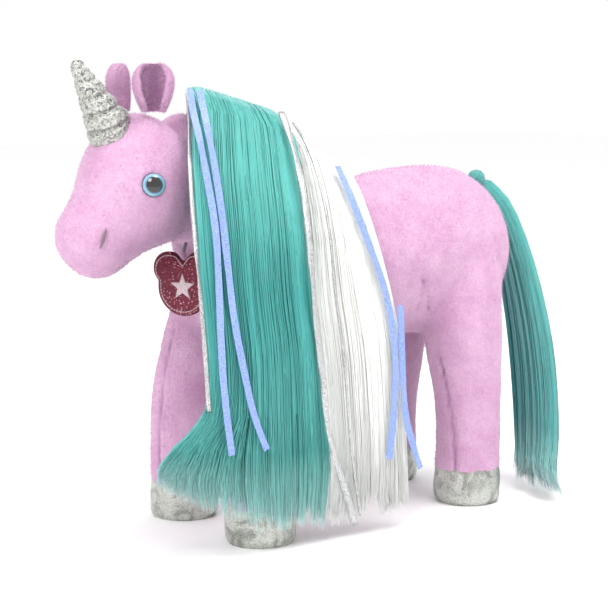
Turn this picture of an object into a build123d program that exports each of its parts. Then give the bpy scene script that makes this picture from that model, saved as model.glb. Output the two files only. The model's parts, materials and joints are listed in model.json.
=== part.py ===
from build123d import *
from math import radians, tan
import os

os.makedirs("parts", exist_ok=True)

# Plush unicorn standing on four stuffed legs, in millimetres. It faces -Y and its left side is +X.
# Most sizes are measured from the point on the floor midway between the four hooves, where
# at(x, y, z) puts them; the row's own origin is under the middle of the whole toy.

# driving dimensions
MIDDLE_X = -12.2  # the point between the hooves, off centre because mane and tail hang to the left
MIDDLE_Y = 15.6
HOOF_X = 47.0  # hoof centres, each side of the middle
HOOF_Y = 96.5
HOOF_HEIGHT = 28.0
HOOF_RADIUS = 25.0
ANKLE_RADIUS = 24.2
FABRIC = 2.4  # pile fabric, backing and pile together
LAME = 0.9  # metallic cloth of hooves and horn
GUSSET_HALF = 27.0  # half width of the belly gusset
FACE_GUSSET_HALF = 11.0


def at(x, y, z):
    return Vector(MIDDLE_X + x, MIDDLE_Y + y, z)


def save(piece, name):
    piece.part.label = name
    export_step(piece.part, f"parts/{name}.step")


def cross_plane(low, high):
    # plane across the toy through two (y, z) points of its side outline, its y running low to high
    foot, top = at(0, *low), at(0, *high)
    return Plane(origin=(foot + top) / 2, x_dir=(1, 0, 0), z_dir=Vector(1, 0, 0).cross(top - foot))


def stuffed_form(stations, inset=0.0):
    # round form through ellipses, each given by its lowest and highest outline point and half width
    with BuildPart() as form:
        for low, high, half_width in stations:
            half_height = (at(0, *high) - at(0, *low)).length / 2
            with BuildSketch(cross_plane(low, high)):
                Ellipse(half_width - inset, half_height - inset)
        loft()
    return form.part


SAGITTAL = Plane(origin=at(0, 0, 0), x_dir=(0, 1, 0), z_dir=(1, 0, 0))

# Body: rump to neck, (low point, high point, half width), points as (y, z). Every station of the
# body and head is a little taller than wide, so that all their ellipses start at the same corner.
BODY_STATIONS = [
    ((149, 166), (150, 209), 20),
    ((140, 142), (142, 229), 42),
    ((122, 130), (126, 243), 55),
    ((90, 125), (92, 250), 60),
    ((45, 124), (48, 247), 60),
    ((0, 123), (10, 239), 57),
    ((-45, 126), (-22, 252), 55),
    ((-82, 131), (-47, 267), 51),
    ((-106, 146), (-70, 281), 46),
    ((-119, 172), (-90, 292), 40),
    ((-126, 198), (-112, 298), 35),
]
NOD_PIVOT = at(0, -155, 249)  # middle of the skull, where the head nods
SOCKET_RADIUS = 46.0  # the neck ends on this cylinder about the pivot

body_outer = stuffed_form(BODY_STATIONS)
body_inner = stuffed_form(BODY_STATIONS[1:], FABRIC)

# Legs: (x in from the hoof, y back from the hoof, z, radius), from the ankle up into the body
FRONT_LEG_STATIONS = [
    (0, 0, HOOF_HEIGHT, ANKLE_RADIUS),
    (0, 1, 68, 24.5),
    (4, 5, 108, 26),
    (12, 14, 146, 29),
    (19, 26, 182, 30),
]
HIND_LEG_STATIONS = [
    (0, 0, HOOF_HEIGHT, ANKLE_RADIUS),
    (0, 0, 68, 24.5),
    (4, 0, 108, 27.5),
    (11, 1, 148, 32),
    (19, 3, 190, 31),
]


def leg_form(side, end, inset=0.0):
    # side is 1 on the left, end is 1 at the back
    stations = HIND_LEG_STATIONS if end == 1 else FRONT_LEG_STATIONS
    with BuildPart() as form:
        for inward, back, z, radius in stations:
            middle = at(side * (HOOF_X - inward), end * HOOF_Y + back, z)
            with BuildSketch(Plane(origin=middle, z_dir=(0, 0, 1))):
                Circle(radius - inset)
        loft()
    return form.part


with BuildPart() as body_skin:
    add(body_outer)
    add(body_inner, mode=Mode.SUBTRACT)
    with Locations(Plane(origin=NOD_PIVOT, z_dir=(1, 0, 0))):
        Cylinder(SOCKET_RADIUS, 200, mode=Mode.SUBTRACT)

with BuildPart() as belly_gusset:
    add(body_skin.part)
    with Locations(at(0, 15, 120)):
        Box(2 * GUSSET_HALF, 220, 70, mode=Mode.INTERSECT)
save(belly_gusset, "belly_gusset")

for panel_name, keep in (("body_left_panel", Keep.TOP), ("body_right_panel", Keep.BOTTOM)):
    with BuildPart() as body_panel:
        add(body_skin.part)
        add(belly_gusset.part, mode=Mode.SUBTRACT)
        split(bisect_by=SAGITTAL, keep=keep)
    save(body_panel, panel_name)

with BuildPart() as body_filling:
    add(body_inner)
    with Locations(Plane(origin=NOD_PIVOT, z_dir=(1, 0, 0))):
        Cylinder(SOCKET_RADIUS, 200, mode=Mode.SUBTRACT)
save(body_filling, "body_filling")


def hoof_form(plane, bottom, inset=0.0):
    # bulging hoof turned about the plane's own y axis, from a flat foot up to the ankle seam
    with BuildPart() as form:
        with BuildSketch(plane):
            with BuildLine():
                foot = Line((0, bottom), (HOOF_RADIUS - 3 - inset, bottom))
                bulge = ThreePointArc(foot @ 1, (HOOF_RADIUS - inset, 11), (ANKLE_RADIUS - inset, HOOF_HEIGHT))
                lid = Line(bulge @ 1, (0, HOOF_HEIGHT))
                Line(lid @ 1, foot @ 0)
            make_face()
        revolve(axis=Axis(plane.origin, (0, 0, 1)))
    return form.part


SOLE_THICKNESS = 1.6

for side, side_name in ((1, "left"), (-1, "right")):
    for end, end_name in ((-1, "front"), (1, "hind")):
        leg_name = f"{end_name}_{side_name}"
        hoof_plane = Plane(origin=at(side * HOOF_X, end * HOOF_Y, 0), x_dir=(1, 0, 0), z_dir=(0, -1, 0))
        leg_inner = leg_form(side, end, FABRIC)

        with BuildPart() as hoof_sole:
            with BuildSketch(Plane(origin=hoof_plane.origin, z_dir=(0, 0, 1))):
                Circle(HOOF_RADIUS - 3)
            extrude(amount=SOLE_THICKNESS)
        save(hoof_sole, f"{leg_name}_hoof_sole")

        hoof_inside = hoof_form(hoof_plane, SOLE_THICKNESS, LAME)
        with BuildPart() as hoof_cover:
            add(hoof_form(hoof_plane, 0))
            add(hoof_inside, mode=Mode.SUBTRACT)
            add(hoof_sole.part, mode=Mode.SUBTRACT)
        save(hoof_cover, f"{leg_name}_hoof_cover")

        with BuildPart() as leg_filling:
            add(leg_inner)
            add(body_outer, mode=Mode.SUBTRACT)
            add(hoof_inside)
        save(leg_filling, f"{leg_name}_leg_filling")

        with BuildPart() as leg_skin:
            add(leg_form(side, end))
            add(leg_inner, mode=Mode.SUBTRACT)
            add(body_outer, mode=Mode.SUBTRACT)
        seam_plane = Plane(origin=at(side * (HOOF_X - 3), 0, 0), z_dir=(side, 0, 0))
        for panel_name, keep in (("outer", Keep.TOP), ("inner", Keep.BOTTOM)):
            with BuildPart() as leg_panel:
                add(leg_skin.part)
                split(bisect_by=seam_plane, keep=keep)
            save(leg_panel, f"{leg_name}_leg_{panel_name}_panel")

# Head: (distance along the face from the skull's middle, half height, half width)
HEAD_STATIONS = [
    (-30, 31, 26),
    (-12, 42, 34),
    (8, 43.5, 36),
    (28, 37, 33),
    (46, 29, 28),
    (60, 26, 25.5),
    (71, 20.5, 20),
    (78, 10, 9.5),
]
FACE_ANGLE = 43.4  # the face slopes this far below level
SKULL_HALF = 42.0
SKULL = at(0, -157, 249)
along_face = Vector(0, -1, 0).rotate(Axis.X, FACE_ANGLE)
up_face = Vector(0, 0, 1).rotate(Axis.X, FACE_ANGLE)
HEAD_PLANE = Plane(origin=SKULL, x_dir=(1, 0, 0), z_dir=along_face)


def head_form(inset=0.0):
    # an inset form is shorter in proportion, so that the skin closes over both ends
    with BuildPart() as form:
        for distance, half_height, half_width in HEAD_STATIONS:
            with BuildSketch(HEAD_PLANE.offset(distance * (1 - inset / SKULL_HALF))):
                Ellipse(half_width - inset, half_height - inset)
        loft()
    return form.part


def head_point(along, up, x=0.0):
    return SKULL + along_face * along + up_face * up + Vector(x, 0, 0)


head_outer = head_form()
head_inner = head_form(FABRIC)

# Eyes: a domed button on a shank that a washer grips inside the head
EYE_RADIUS = 8.1
EYE_HEIGHT = 5.5
SHANK_RADIUS = 1.8
SHANK_LENGTH = 11.0
WASHER_RADIUS = 6.5


def eye_plane(side):
    return Plane(origin=head_point(12, 9, side * 33.6), z_dir=(side * 0.90, -0.42, 0.10))


with BuildPart() as eye_holes:
    for side in (1, -1):
        with BuildSketch(eye_plane(side).offset(-SHANK_LENGTH)):
            Circle(SHANK_RADIUS)
        extrude(amount=SHANK_LENGTH + EYE_HEIGHT)
        with BuildSketch(eye_plane(side)):
            Circle(EYE_RADIUS)
        extrude(amount=EYE_HEIGHT)
        with BuildSketch(eye_plane(side).offset(-SHANK_LENGTH + 2)):
            Circle(WASHER_RADIUS)
        extrude(amount=1.5)

for side, side_name in ((1, "left"), (-1, "right")):
    with BuildPart() as eye:
        with BuildSketch(eye_plane(side)):
            Circle(EYE_RADIUS)
        with BuildSketch(eye_plane(side).offset(EYE_HEIGHT * 0.6)):
            Circle(EYE_RADIUS * 0.78)
        with BuildSketch(eye_plane(side).offset(EYE_HEIGHT)):
            Circle(EYE_RADIUS * 0.3)
        loft()
        with BuildSketch(eye_plane(side).offset(-SHANK_LENGTH)):
            Circle(SHANK_RADIUS)
        extrude(amount=SHANK_LENGTH)
    save(eye, f"eye_{side_name}")

    with BuildPart() as washer:
        with BuildSketch(eye_plane(side).offset(-SHANK_LENGTH + 2)):
            Circle(WASHER_RADIUS)
            Circle(SHANK_RADIUS, mode=Mode.SUBTRACT)
        extrude(amount=1.5)
    save(washer, f"eye_washer_{side_name}")

gusset_plane = Plane(origin=head_point(20, 40), x_dir=(1, 0, 0), z_dir=along_face)
with BuildPart() as head_gusset:
    add(head_outer)
    with Locations(gusset_plane):
        Box(2 * FACE_GUSSET_HALF, 70, 160, mode=Mode.INTERSECT)
    add(head_inner, mode=Mode.SUBTRACT)
save(head_gusset, "head_gusset")

for panel_name, keep in (("head_left_panel", Keep.TOP), ("head_right_panel", Keep.BOTTOM)):
    with BuildPart() as head_panel:
        add(head_outer)
        split(bisect_by=SAGITTAL, keep=keep)
        with Locations(gusset_plane):
            Box(2 * FACE_GUSSET_HALF, 70, 160, mode=Mode.SUBTRACT)
        add(head_inner, mode=Mode.SUBTRACT)
        add(eye_holes.part, mode=Mode.SUBTRACT)
    save(head_panel, panel_name)

with BuildPart() as head_filling:
    add(head_inner)
    add(eye_holes.part, mode=Mode.SUBTRACT)
save(head_filling, "head_filling")

# Nostrils: a short bar of silver stitching on each side of the muzzle
for side, side_name in ((1, "left"), (-1, "right")):
    nostril_plane = Plane(origin=head_point(60, 8, side * 25.4), x_dir=(0, -0.35, -0.94), z_dir=(side, 0, 0))
    with BuildPart() as nostril:
        with BuildSketch(nostril_plane):
            SlotOverall(14, 2.4)
        extrude(amount=2.2)
        add(head_outer, mode=Mode.SUBTRACT)
    save(nostril, f"nostril_stitch_{side_name}")

# Ears: two layers of cloth each, cut as a leaf that stands on the head and opens outward
EAR_ROOT_RADIUS = 7.0
EAR_TOP_RADIUS = 13.0
EAR_RISE = 20.0  # from the root circle's middle to the top circle's
EAR_BACK = 4.0
EAR_LINING = 2.2


def ear_outline(shrink=0.0):
    Circle(EAR_ROOT_RADIUS - shrink)
    with Locations((0, EAR_RISE)):
        Circle(EAR_TOP_RADIUS - shrink)
    make_hull()


for side, side_name in ((1, "left"), (-1, "right")):
    outward = Plane(
        origin=at(side * 21, -163, 298.5),
        x_dir=(0.6, side * 0.8, 0),
        z_dir=(side * 0.8, -0.6, 0),
    )
    with BuildPart() as ear_back:
        with BuildSketch(outward):
            ear_outline()
        extrude(amount=-EAR_BACK)
    save(ear_back, f"ear_{side_name}_back")

    with BuildPart() as ear_lining:
        with BuildSketch(outward):
            ear_outline(2.0)
        extrude(amount=EAR_LINING)
    save(ear_lining, f"ear_{side_name}_lining")

# Horn: a stuffed cone of metallic cloth, wound with silver thread
HORN_BASE_RADIUS = 16.0
HORN_TIP_RADIUS = 3.6
horn_root = head_point(-4.5, 44.2)
horn_tip = at(0, -210, 328)
horn_axis = (horn_tip - horn_root).normalized()
horn_base_plane = Plane(origin=horn_root, x_dir=(1, 0, 0), z_dir=up_face)
horn_tip_plane = Plane(origin=horn_tip, x_dir=(1, 0, 0), z_dir=horn_axis)


def horn_form(inset=0.0):
    with BuildPart() as form:
        with BuildSketch(horn_base_plane.offset(inset)):
            Circle(HORN_BASE_RADIUS - inset)
        with BuildSketch(horn_tip_plane.offset(-2 * inset)):
            Circle(HORN_TIP_RADIUS - inset)
        loft()
    return form.part


horn_inner = horn_form(LAME)
with BuildPart() as horn_cover:
    add(horn_form())
    fillet(horn_cover.faces().sort_by(Axis(horn_root, horn_axis))[-1].edges(), 2.4)
    add(horn_inner, mode=Mode.SUBTRACT)
save(horn_cover, "horn_cover")

with BuildPart() as horn_filling:
    add(horn_inner)
save(horn_filling, "horn_filling")


# Hair: flat sheets lofted through slots, each given by its front end, its rear end and its thickness
def hair_sheet(sections, falls):
    with BuildPart() as sheet:
        for index, (front, rear, thickness) in enumerate(sections):
            front_end, rear_end = at(*front), at(*rear)
            run = (rear_end - front_end).normalized()
            across = run.cross(falls[index])
            plane = Plane(origin=(front_end + rear_end) / 2, x_dir=run, z_dir=across.cross(run))
            with BuildSketch(plane):
                SlotOverall((rear_end - front_end).length, thickness)
        loft()
    return sheet


def fall_directions(sections):
    # the way the hair falls at each section, from the middles of the sections beside it
    middles = [(at(*front) + at(*rear)) / 2 for front, rear, thickness in sections]
    last = len(middles) - 1
    return [middles[min(i + 1, last)] - middles[max(i - 1, 0)] for i in range(last + 1)]


TEAL_MANE = [
    ((5, -124, 309), (5, -50, 289), 8),
    ((31, -137, 297), (31, -56, 276), 10),
    ((49, -150, 264), (50, -63, 246), 10),
    ((62, -156, 222), (66, -69, 212), 11),
    ((70, -158, 180), (72, -71, 172), 12),
    ((78, -159, 140), (79, -70, 135), 12),
    ((80, -160, 100), (80, -67, 96), 11),
    ((80, -163, 60), (79, -62, 54), 11),
    ((77, -150, 12), (78, -66, 8), 10),
]
WHITE_MANE = [
    ((5, -47, 281), (5, -10, 253), 8),
    ((29, -51, 268), (31, -12, 251), 9),
    ((49, -58, 244), (51, -14, 239), 10),
    ((66, -65, 210), (68, -13, 208), 11),
    ((73, -68, 172), (74, -4, 168), 11),
    ((80, -67, 134), (79, 1, 130), 11),
    ((81, -64, 96), (80, 4, 92), 11),
    ((79, -59, 54), (80, 7, 50), 11),
    ((78, -62, 8), (79, 11, 8), 9),
]
TAIL = [
    ((-6, 154, 234), (6, 154, 234), 10),
    ((-8, 168, 214), (16, 168, 214), 14),
    ((-5, 179, 170), (29, 179, 170), 18),
    ((4, 182, 120), (46, 180, 118), 20),
    ((12, 180, 75), (60, 174, 72), 20),
    ((24, 172, 35), (76, 158, 32), 20),
    ((40, 160, 5), (92, 130, 5), 20),
]

mane_teal = hair_sheet(TEAL_MANE, fall_directions(TEAL_MANE))
save(mane_teal, "mane_teal_hair")
mane_white = hair_sheet(WHITE_MANE, fall_directions(WHITE_MANE))
save(mane_white, "mane_white_hair")
tail_hair = hair_sheet(TAIL, fall_directions(TAIL))
save(tail_hair, "tail_hair")

# Mane weft: the sewn-down band along the crest that both colours of hair are stitched into
WEFT_RADIUS = 3.2
crest = [at(0, y, z) for y, z in ((-108, 298.5), (-90, 292.5), (-69, 281.5), (-46, 267.5), (-22, 252.5))]
with BuildPart() as mane_weft:
    with BuildLine() as crest_line:
        FilletPolyline(*crest, radius=30)
    with BuildSketch(Plane(origin=crest_line.line @ 0, z_dir=crest_line.line % 0)):
        Circle(WEFT_RADIUS)
    sweep()
    add(body_outer, mode=Mode.SUBTRACT)
save(mane_weft, "mane_weft")

# Tail binding: the wrapped knot that the tail hair swings from
TAIL_KNOT = at(0, 146.5, 238.5)
KNOT_RADIUS = 7.0
with BuildPart() as tail_binding:
    with Locations(TAIL_KNOT):
        Sphere(KNOT_RADIUS)
save(tail_binding, "tail_binding")

# Horn thread: a silver thread wound up the cone
THREAD_RADIUS = 0.45
THREAD_TURNS = 4.5
THREAD_RISE = 40.0
THREAD_START_RADIUS = 15.5  # where the thread begins, 5 mm above the root
THREAD_TAPER = -13.2  # degrees that the winding narrows by
with BuildPart() as horn_thread:
    with BuildLine() as winding:
        Helix(
            pitch=THREAD_RISE / THREAD_TURNS,
            height=THREAD_RISE,
            radius=THREAD_START_RADIUS,
            center=horn_root + horn_axis * 5,
            direction=horn_axis,
            cone_angle=THREAD_TAPER,
        )
    with BuildSketch(Plane(origin=winding.line @ 0, z_dir=winding.line % 0)):
        Circle(THREAD_RADIUS)
    sweep(is_frenet=True)
save(horn_thread, "horn_thread")

# Badge: a glittered medallion with a notched top, hung on the chest by a short loop
BADGE_WIDTH = 46.0
BADGE_HEIGHT = 44.0
BADGE_BACK = 1.4
BADGE_FACE = 1.2
BADGE_STITCH = 0.6  # how far stitching stands up
badge_middle = at(7.5, -131, 177)
badge_plane = Plane(origin=badge_middle, x_dir=(0.87, 0.5, 0), z_dir=(0.5, -0.87, 0))


def badge_outline(shrink=0.0):
    lobe = BADGE_WIDTH / 4
    with Locations((0, -2.5)):
        Circle(BADGE_HEIGHT / 2 - 2.5 - shrink)
    with Locations((-lobe, BADGE_HEIGHT / 2 - lobe), (lobe, BADGE_HEIGHT / 2 - lobe)):
        Circle(lobe - shrink)
    make_hull()
    with Locations((0, BADGE_HEIGHT / 2 + 1)):
        Circle(6.5 + shrink, mode=Mode.SUBTRACT)


with BuildPart() as badge_back:
    with BuildSketch(badge_plane):
        badge_outline()
    extrude(amount=BADGE_BACK)
save(badge_back, "badge_back")

with BuildPart() as badge_face:
    with BuildSketch(badge_plane.offset(BADGE_BACK)):
        badge_outline(0.6)
    extrude(amount=BADGE_FACE)
save(badge_face, "badge_face")

badge_front = badge_plane.offset(BADGE_BACK + BADGE_FACE)
with BuildSketch(badge_front) as stitch_inside:
    badge_outline(3.4)
with BuildPart() as badge_stitching:
    with BuildSketch(badge_front):
        badge_outline(2.6)
        add(stitch_inside.sketch_local, mode=Mode.SUBTRACT)
    extrude(amount=BADGE_STITCH)
save(badge_stitching, "badge_stitching")

with BuildPart() as badge_star:
    with BuildSketch(badge_front):
        with Locations((0, -2)):
            for turn in range(5):
                with Locations(Rot(0, 0, 72 * turn)):
                    Polygon((-3.2, 0), (0, 9.5), (3.2, 0), align=None)
    extrude(amount=BADGE_STITCH)
save(badge_star, "badge_star")

with BuildPart() as badge_loop:
    with BuildLine() as loop_line:
        FilletPolyline(at(3, -106, 216), at(7, -125, 212), at(8.5, -132, 199), radius=6)
    with BuildSketch(Plane(origin=loop_line.line @ 0, z_dir=loop_line.line % 0)):
        Circle(1.2)
    sweep()
    add(body_outer, mode=Mode.SUBTRACT)
save(badge_loop, "badge_loop")

# Ribbons, tinsel and cord laid over the mane. Each route is chosen by hand, from the crest down.
RIBBON_WIDTH = 4.6
TINSEL_WIDTH = 5.0
STRAND_WIDTH = 3.0
CORD_WIDTH = 1.8

ROUTES = {
    "blue_ribbon_front": (RIBBON_WIDTH, [
        (22, -135, 309), (37, -143, 295), (50, -146.5, 278), (62, -149, 252), (72, -149, 220),
        (79, -152, 182), (85, -155, 150), (90, -156, 111), (91, -151, 75),
    ]),
    "blue_ribbon_second": (RIBBON_WIDTH, [
        (29, -132, 308), (43, -138, 294), (55, -141, 273), (68, -143, 239), (77, -144, 200),
        (83, -143.5, 162), (89, -140, 130), (90.5, -133, 96), (91, -123, 75),
    ]),
    "silver_strand_front": (STRAND_WIDTH, [
        (13, -131, 306), (31, -141.5, 296), (49, -154, 264), (62, -160, 222), (71.5, -161.5, 181),
        (78, -162.5, 142), (82.5, -163, 104),
    ]),
    "silver_tinsel_seam": (TINSEL_WIDTH, [
        (31, -66, 293), (47, -70, 278), (67, -74, 242), (79, -78, 203), (85.5, -78, 156),
        (90.5, -76, 116), (91, -72, 80), (95, -63, 47), (98, -54, 15),
    ]),
    "silver_cord_white": (CORD_WIDTH, [
        (18.5, -46, 285), (36, -50, 275.5), (58, -54.5, 250), (77, -59, 212.5), (84, -61, 173),
        (89.5, -56.5, 128), (91, -54.5, 87), (93.5, -52, 52), (97, -48.5, 20),
    ]),
    "blue_ribbon_rear": (RIBBON_WIDTH, [
        (52, -33, 256), (65, -33, 239), (77, -30, 213), (81.5, -21, 188), (85.5, -13, 158),
        (89.5, -11, 123), (90.5, -13, 88), (90, -17, 54),
    ]),
    "blue_ribbon_tip": (RIBBON_WIDTH, [
        (84.5, -3, 160), (88, -5, 135), (90, -5, 108), (90.5, -3, 82), (91, 4, 61), (91, 11, 44),
    ]),
}


def corner_radii(points):
    # each corner's arc is as large as its two runs allow
    radii = []
    for before, corner, after in zip(points, points[1:], points[2:]):
        shorter = min((corner - before).length, (after - corner).length)
        turn = (corner - before).get_angle(after - corner)
        radii.append(0.45 * shorter / tan(radians(turn / 2)))
    return radii


for name, (width, route) in ROUTES.items():
    points = [at(*point) for point in route]
    radii = corner_radii(points)
    with BuildPart() as cord:
        with BuildLine() as path:
            FilletPolyline(*points, radius=radii)
        with BuildSketch(Plane(origin=path.line @ 0, z_dir=path.line % 0)):
            section = Circle(width / 2)
        sweep()
    save(cord, name)
    length = sum(edge.length for edge in path.edges())
    expected = section.area * length
    print(name, "length", round(length, 1), "volume / section x length",
          round(cord.part.volume / expected, 4), "radii", [round(radius) for radius in radii])
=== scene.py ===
import json
import math
import bmesh
import bpy
import numpy as np
from mathutils import Matrix, Vector, noise
from mathutils.kdtree import KDTree

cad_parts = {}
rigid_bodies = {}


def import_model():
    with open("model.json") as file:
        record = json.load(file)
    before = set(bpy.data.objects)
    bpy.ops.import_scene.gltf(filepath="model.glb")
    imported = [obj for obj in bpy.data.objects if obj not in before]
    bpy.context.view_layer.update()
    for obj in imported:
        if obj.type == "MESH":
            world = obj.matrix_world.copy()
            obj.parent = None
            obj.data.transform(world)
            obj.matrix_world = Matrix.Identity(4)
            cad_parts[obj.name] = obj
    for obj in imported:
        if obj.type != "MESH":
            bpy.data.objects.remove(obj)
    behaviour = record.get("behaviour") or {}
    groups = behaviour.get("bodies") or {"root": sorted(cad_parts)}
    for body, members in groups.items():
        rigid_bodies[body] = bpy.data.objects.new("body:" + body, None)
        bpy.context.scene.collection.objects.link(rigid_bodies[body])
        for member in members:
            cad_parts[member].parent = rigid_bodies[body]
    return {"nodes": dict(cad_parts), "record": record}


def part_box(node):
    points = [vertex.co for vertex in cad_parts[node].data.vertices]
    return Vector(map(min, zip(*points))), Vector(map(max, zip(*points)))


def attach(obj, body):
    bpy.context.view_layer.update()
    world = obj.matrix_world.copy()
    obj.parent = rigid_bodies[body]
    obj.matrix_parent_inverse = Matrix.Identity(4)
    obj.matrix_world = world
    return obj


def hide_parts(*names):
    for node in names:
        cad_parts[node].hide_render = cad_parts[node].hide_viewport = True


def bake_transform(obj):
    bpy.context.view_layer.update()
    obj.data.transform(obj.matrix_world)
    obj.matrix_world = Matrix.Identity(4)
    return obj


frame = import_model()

for extra in [o for o in bpy.data.objects if o.name in ("Cube", "Light", "Camera")]:
    bpy.data.objects.remove(extra)
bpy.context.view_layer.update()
scene = bpy.context.scene
# cloth needs few bounces
scene.cycles.max_bounces = 4
scene.cycles.diffuse_bounces = scene.cycles.glossy_bounces = 2
hoofSpots = np.array([m["pos_m"] for m in frame["record"]["mounts"]])
middle = hoofSpots.mean(0)  # floor point between the hooves
rng = np.random.default_rng(7)
print("stage: frame loaded")


def at(x, y, z):
    # millimetres from the floor point between the hooves
    return Vector((middle[0] + x / 1000, middle[1] + y / 1000, z / 1000))


def rows(points):
    return np.array([at(*p) for p in points], float)


# camera and light
studio = {"camera": (0.98020, -0.77098, 0.31923), "target": (-0.0412, 0.0156, 0.1518), "lens": 103.2}
cameraData = bpy.data.cameras.new("studioCamera")
cameraData.lens, cameraData.sensor_width = studio["lens"], 36
cameraData.clip_start, cameraData.clip_end = 0.05, 20
studioCamera = bpy.data.objects.new("studioCamera", cameraData)
scene.collection.objects.link(studioCamera)
studioCamera.location = studio["camera"]
studioCamera.rotation_euler = (Vector(studio["target"]) - Vector(studio["camera"])).to_track_quat("-Z",
        "Y").to_euler()
scene.camera = studioCamera
scene.view_settings.view_transform = "Standard"


def linear(hexText):
    out = []
    for i in (0, 2, 4):
        c = int(hexText[i:i + 2], 16) / 255
        out.append(c / 12.92 if c <= 0.04045 else ((c + 0.055) / 1.055) ** 2.4)
    return (*out, 1.0)


def addNode(tree, kind, inputs=None, **settings):
    node = tree.nodes.new(kind)
    for key, value in settings.items():
        setattr(node, key, value)
    for key, value in (inputs or {}).items():
        if isinstance(value, bpy.types.NodeSocket):
            tree.links.new(value, node.inputs[key])
        else:
            node.inputs[key].default_value = value
    return node


def newMaterial(name, **shaderInputs):
    material = bpy.data.materials.new(name)
    material.use_nodes = True
    tree = material.node_tree
    tree.nodes.clear()
    shader = addNode(tree, "ShaderNodeBsdfPrincipled", shaderInputs)
    output = addNode(tree, "ShaderNodeOutputMaterial")
    tree.links.new(shader.outputs["BSDF"], output.inputs["Surface"])
    return material, tree, shader


def colourRamp(tree, factor, stops):
    ramp = addNode(tree, "ShaderNodeValToRGB", {"Fac": factor})
    elements = ramp.color_ramp.elements
    while len(elements) > 1:
        elements.remove(elements[-1])
    elements[0].position, elements[0].color = stops[0][0], linear(stops[0][1])
    for position, colour in stops[1:]:
        elements.new(position).color = linear(colour)
    return ramp.outputs["Color"]


def bumped(tree, shader, height, strength, distance):
    bump = addNode(tree, "ShaderNodeBump", {"Height": height, "Strength": strength, "Distance": distance})
    tree.links.new(bump.outputs["Normal"], shader.inputs["Normal"])


def plushMaterial(name, low, middleTone, high):
    # polyester pile fabric: soft nap, a pale bloom at grazing angles, and painted light and shade in noise patches
    # that stand for the nap turning
    material, tree, shader = newMaterial(name,
            **{"Roughness": 0.9, "Specular IOR Level": 0.2,
            "Sheen Weight": 0.55,
            "Sheen Roughness": 0.45, "Sheen Tint": linear("f4dcec")})
    place = addNode(tree, "ShaderNodeTexCoord").outputs["Object"]
    paintedLightPatches = addNode(tree, "ShaderNodeTexNoise",
                      {"Vector": place, "Scale": 42.0, "Detail": 4.0, "Roughness": 0.6})
    tufts = addNode(tree, "ShaderNodeTexNoise",
                    {"Vector": place, "Scale": 520.0, "Detail": 3.0})  # 2 mm tufts
    both = addNode(tree, "ShaderNodeMath", {0: paintedLightPatches.outputs[0], 1: 0.62}, operation="MULTIPLY")
    some = addNode(tree, "ShaderNodeMath", {0: tufts.outputs[0], 1: 0.38, 2: both.outputs[0]},
                   operation="MULTIPLY_ADD")
    # painted light and shade: the ramp runs from the shaded tone through the middle to the lit tone
    colour = colourRamp(tree, some.outputs[0], [(0.36, low), (0.5, middleTone), (0.64, high)])
    # painted shade: the darker 8d5f86 is mixed in along the seam creases and in the ear hollows
    paintedShade = addNode(tree, "ShaderNodeAttribute", attribute_name="paintedShade")
    dark = addNode(tree, "ShaderNodeMix", {0: paintedShade.outputs["Fac"], 6: colour, 7: linear("8d5f86")},
                   data_type="RGBA")
    tree.links.new(dark.outputs[2], shader.inputs["Base Color"])
    fine = addNode(tree, "ShaderNodeTexNoise", {"Vector": place, "Scale": 1100.0, "Detail": 2.0})
    rough = addNode(tree, "ShaderNodeMath", {0: fine.outputs[0], 1: tufts.outputs[0]}, operation="ADD")
    bumped(tree, shader, rough.outputs[0], 0.55, 0.0009)
    return material


def hairMaterial(name, stops, streak, roughness=0.34):
    # combed nylon fibre: glossy, each lock its own tone, paler towards the tips
    material, tree, shader = newMaterial(name,
            **{"Roughness": roughness, "Specular IOR Level": 0.6,
            "Sheen Weight": 0.25,
            "Sheen Roughness": 0.3, "Coat Weight": 0.15,
            "Coat Roughness": 0.2})
    fall = addNode(tree, "ShaderNodeAttribute", attribute_name="fall").outputs["Fac"]
    lock = addNode(tree, "ShaderNodeAttribute", attribute_name="lock").outputs["Fac"]
    base = colourRamp(tree, fall, stops)
    tone = colourRamp(tree, lock, streak)
    mixed = addNode(tree, "ShaderNodeMix", {0: 0.34, 6: base, 7: tone}, data_type="RGBA",
                    blend_type="OVERLAY")
    tree.links.new(mixed.outputs[2], shader.inputs["Base Color"])
    return material


def lameMaterial(name, low, high, crinkle=260.0, metallic=0.75):
    # metallic knitted cloth: silver film on a knit backing, crinkled where it is gathered, with painted light and
    # shade where the crease noise darkens and lightens the silver
    material, tree, shader = newMaterial(name, **{"Metallic": metallic})
    place = addNode(tree, "ShaderNodeTexCoord").outputs["Object"]
    creases = addNode(tree, "ShaderNodeTexNoise",
                      {"Vector": place, "Scale": crinkle, "Detail": 5.0, "Distortion": 1.4})
    knit = addNode(tree, "ShaderNodeTexVoronoi", {"Vector": place, "Scale": 1300.0})  # about 0.8 mm loops
    # painted shade and reflection: darker and lighter silver following the crease noise
    colour = colourRamp(tree, creases.outputs[0], [(0.36, low), (0.52, high)])
    speck = addNode(tree, "ShaderNodeMix", {0: knit.outputs["Distance"], 6: colour, 7: linear("a7a8a4")},
                    data_type="RGBA", blend_type="MULTIPLY")
    tree.links.new(speck.outputs[2], shader.inputs["Base Color"])
    gloss = addNode(tree, "ShaderNodeMapRange",
                    {"Value": creases.outputs[0], "To Min": 0.22, "To Max": 0.42})
    tree.links.new(gloss.outputs["Result"], shader.inputs["Roughness"])
    height = addNode(tree, "ShaderNodeMath", {0: knit.outputs["Distance"], 1: 0.35, 2: creases.outputs[0]},
                     operation="MULTIPLY_ADD")
    bumped(tree, shader, height.outputs[0], 0.7, 0.0011)
    return material


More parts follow.
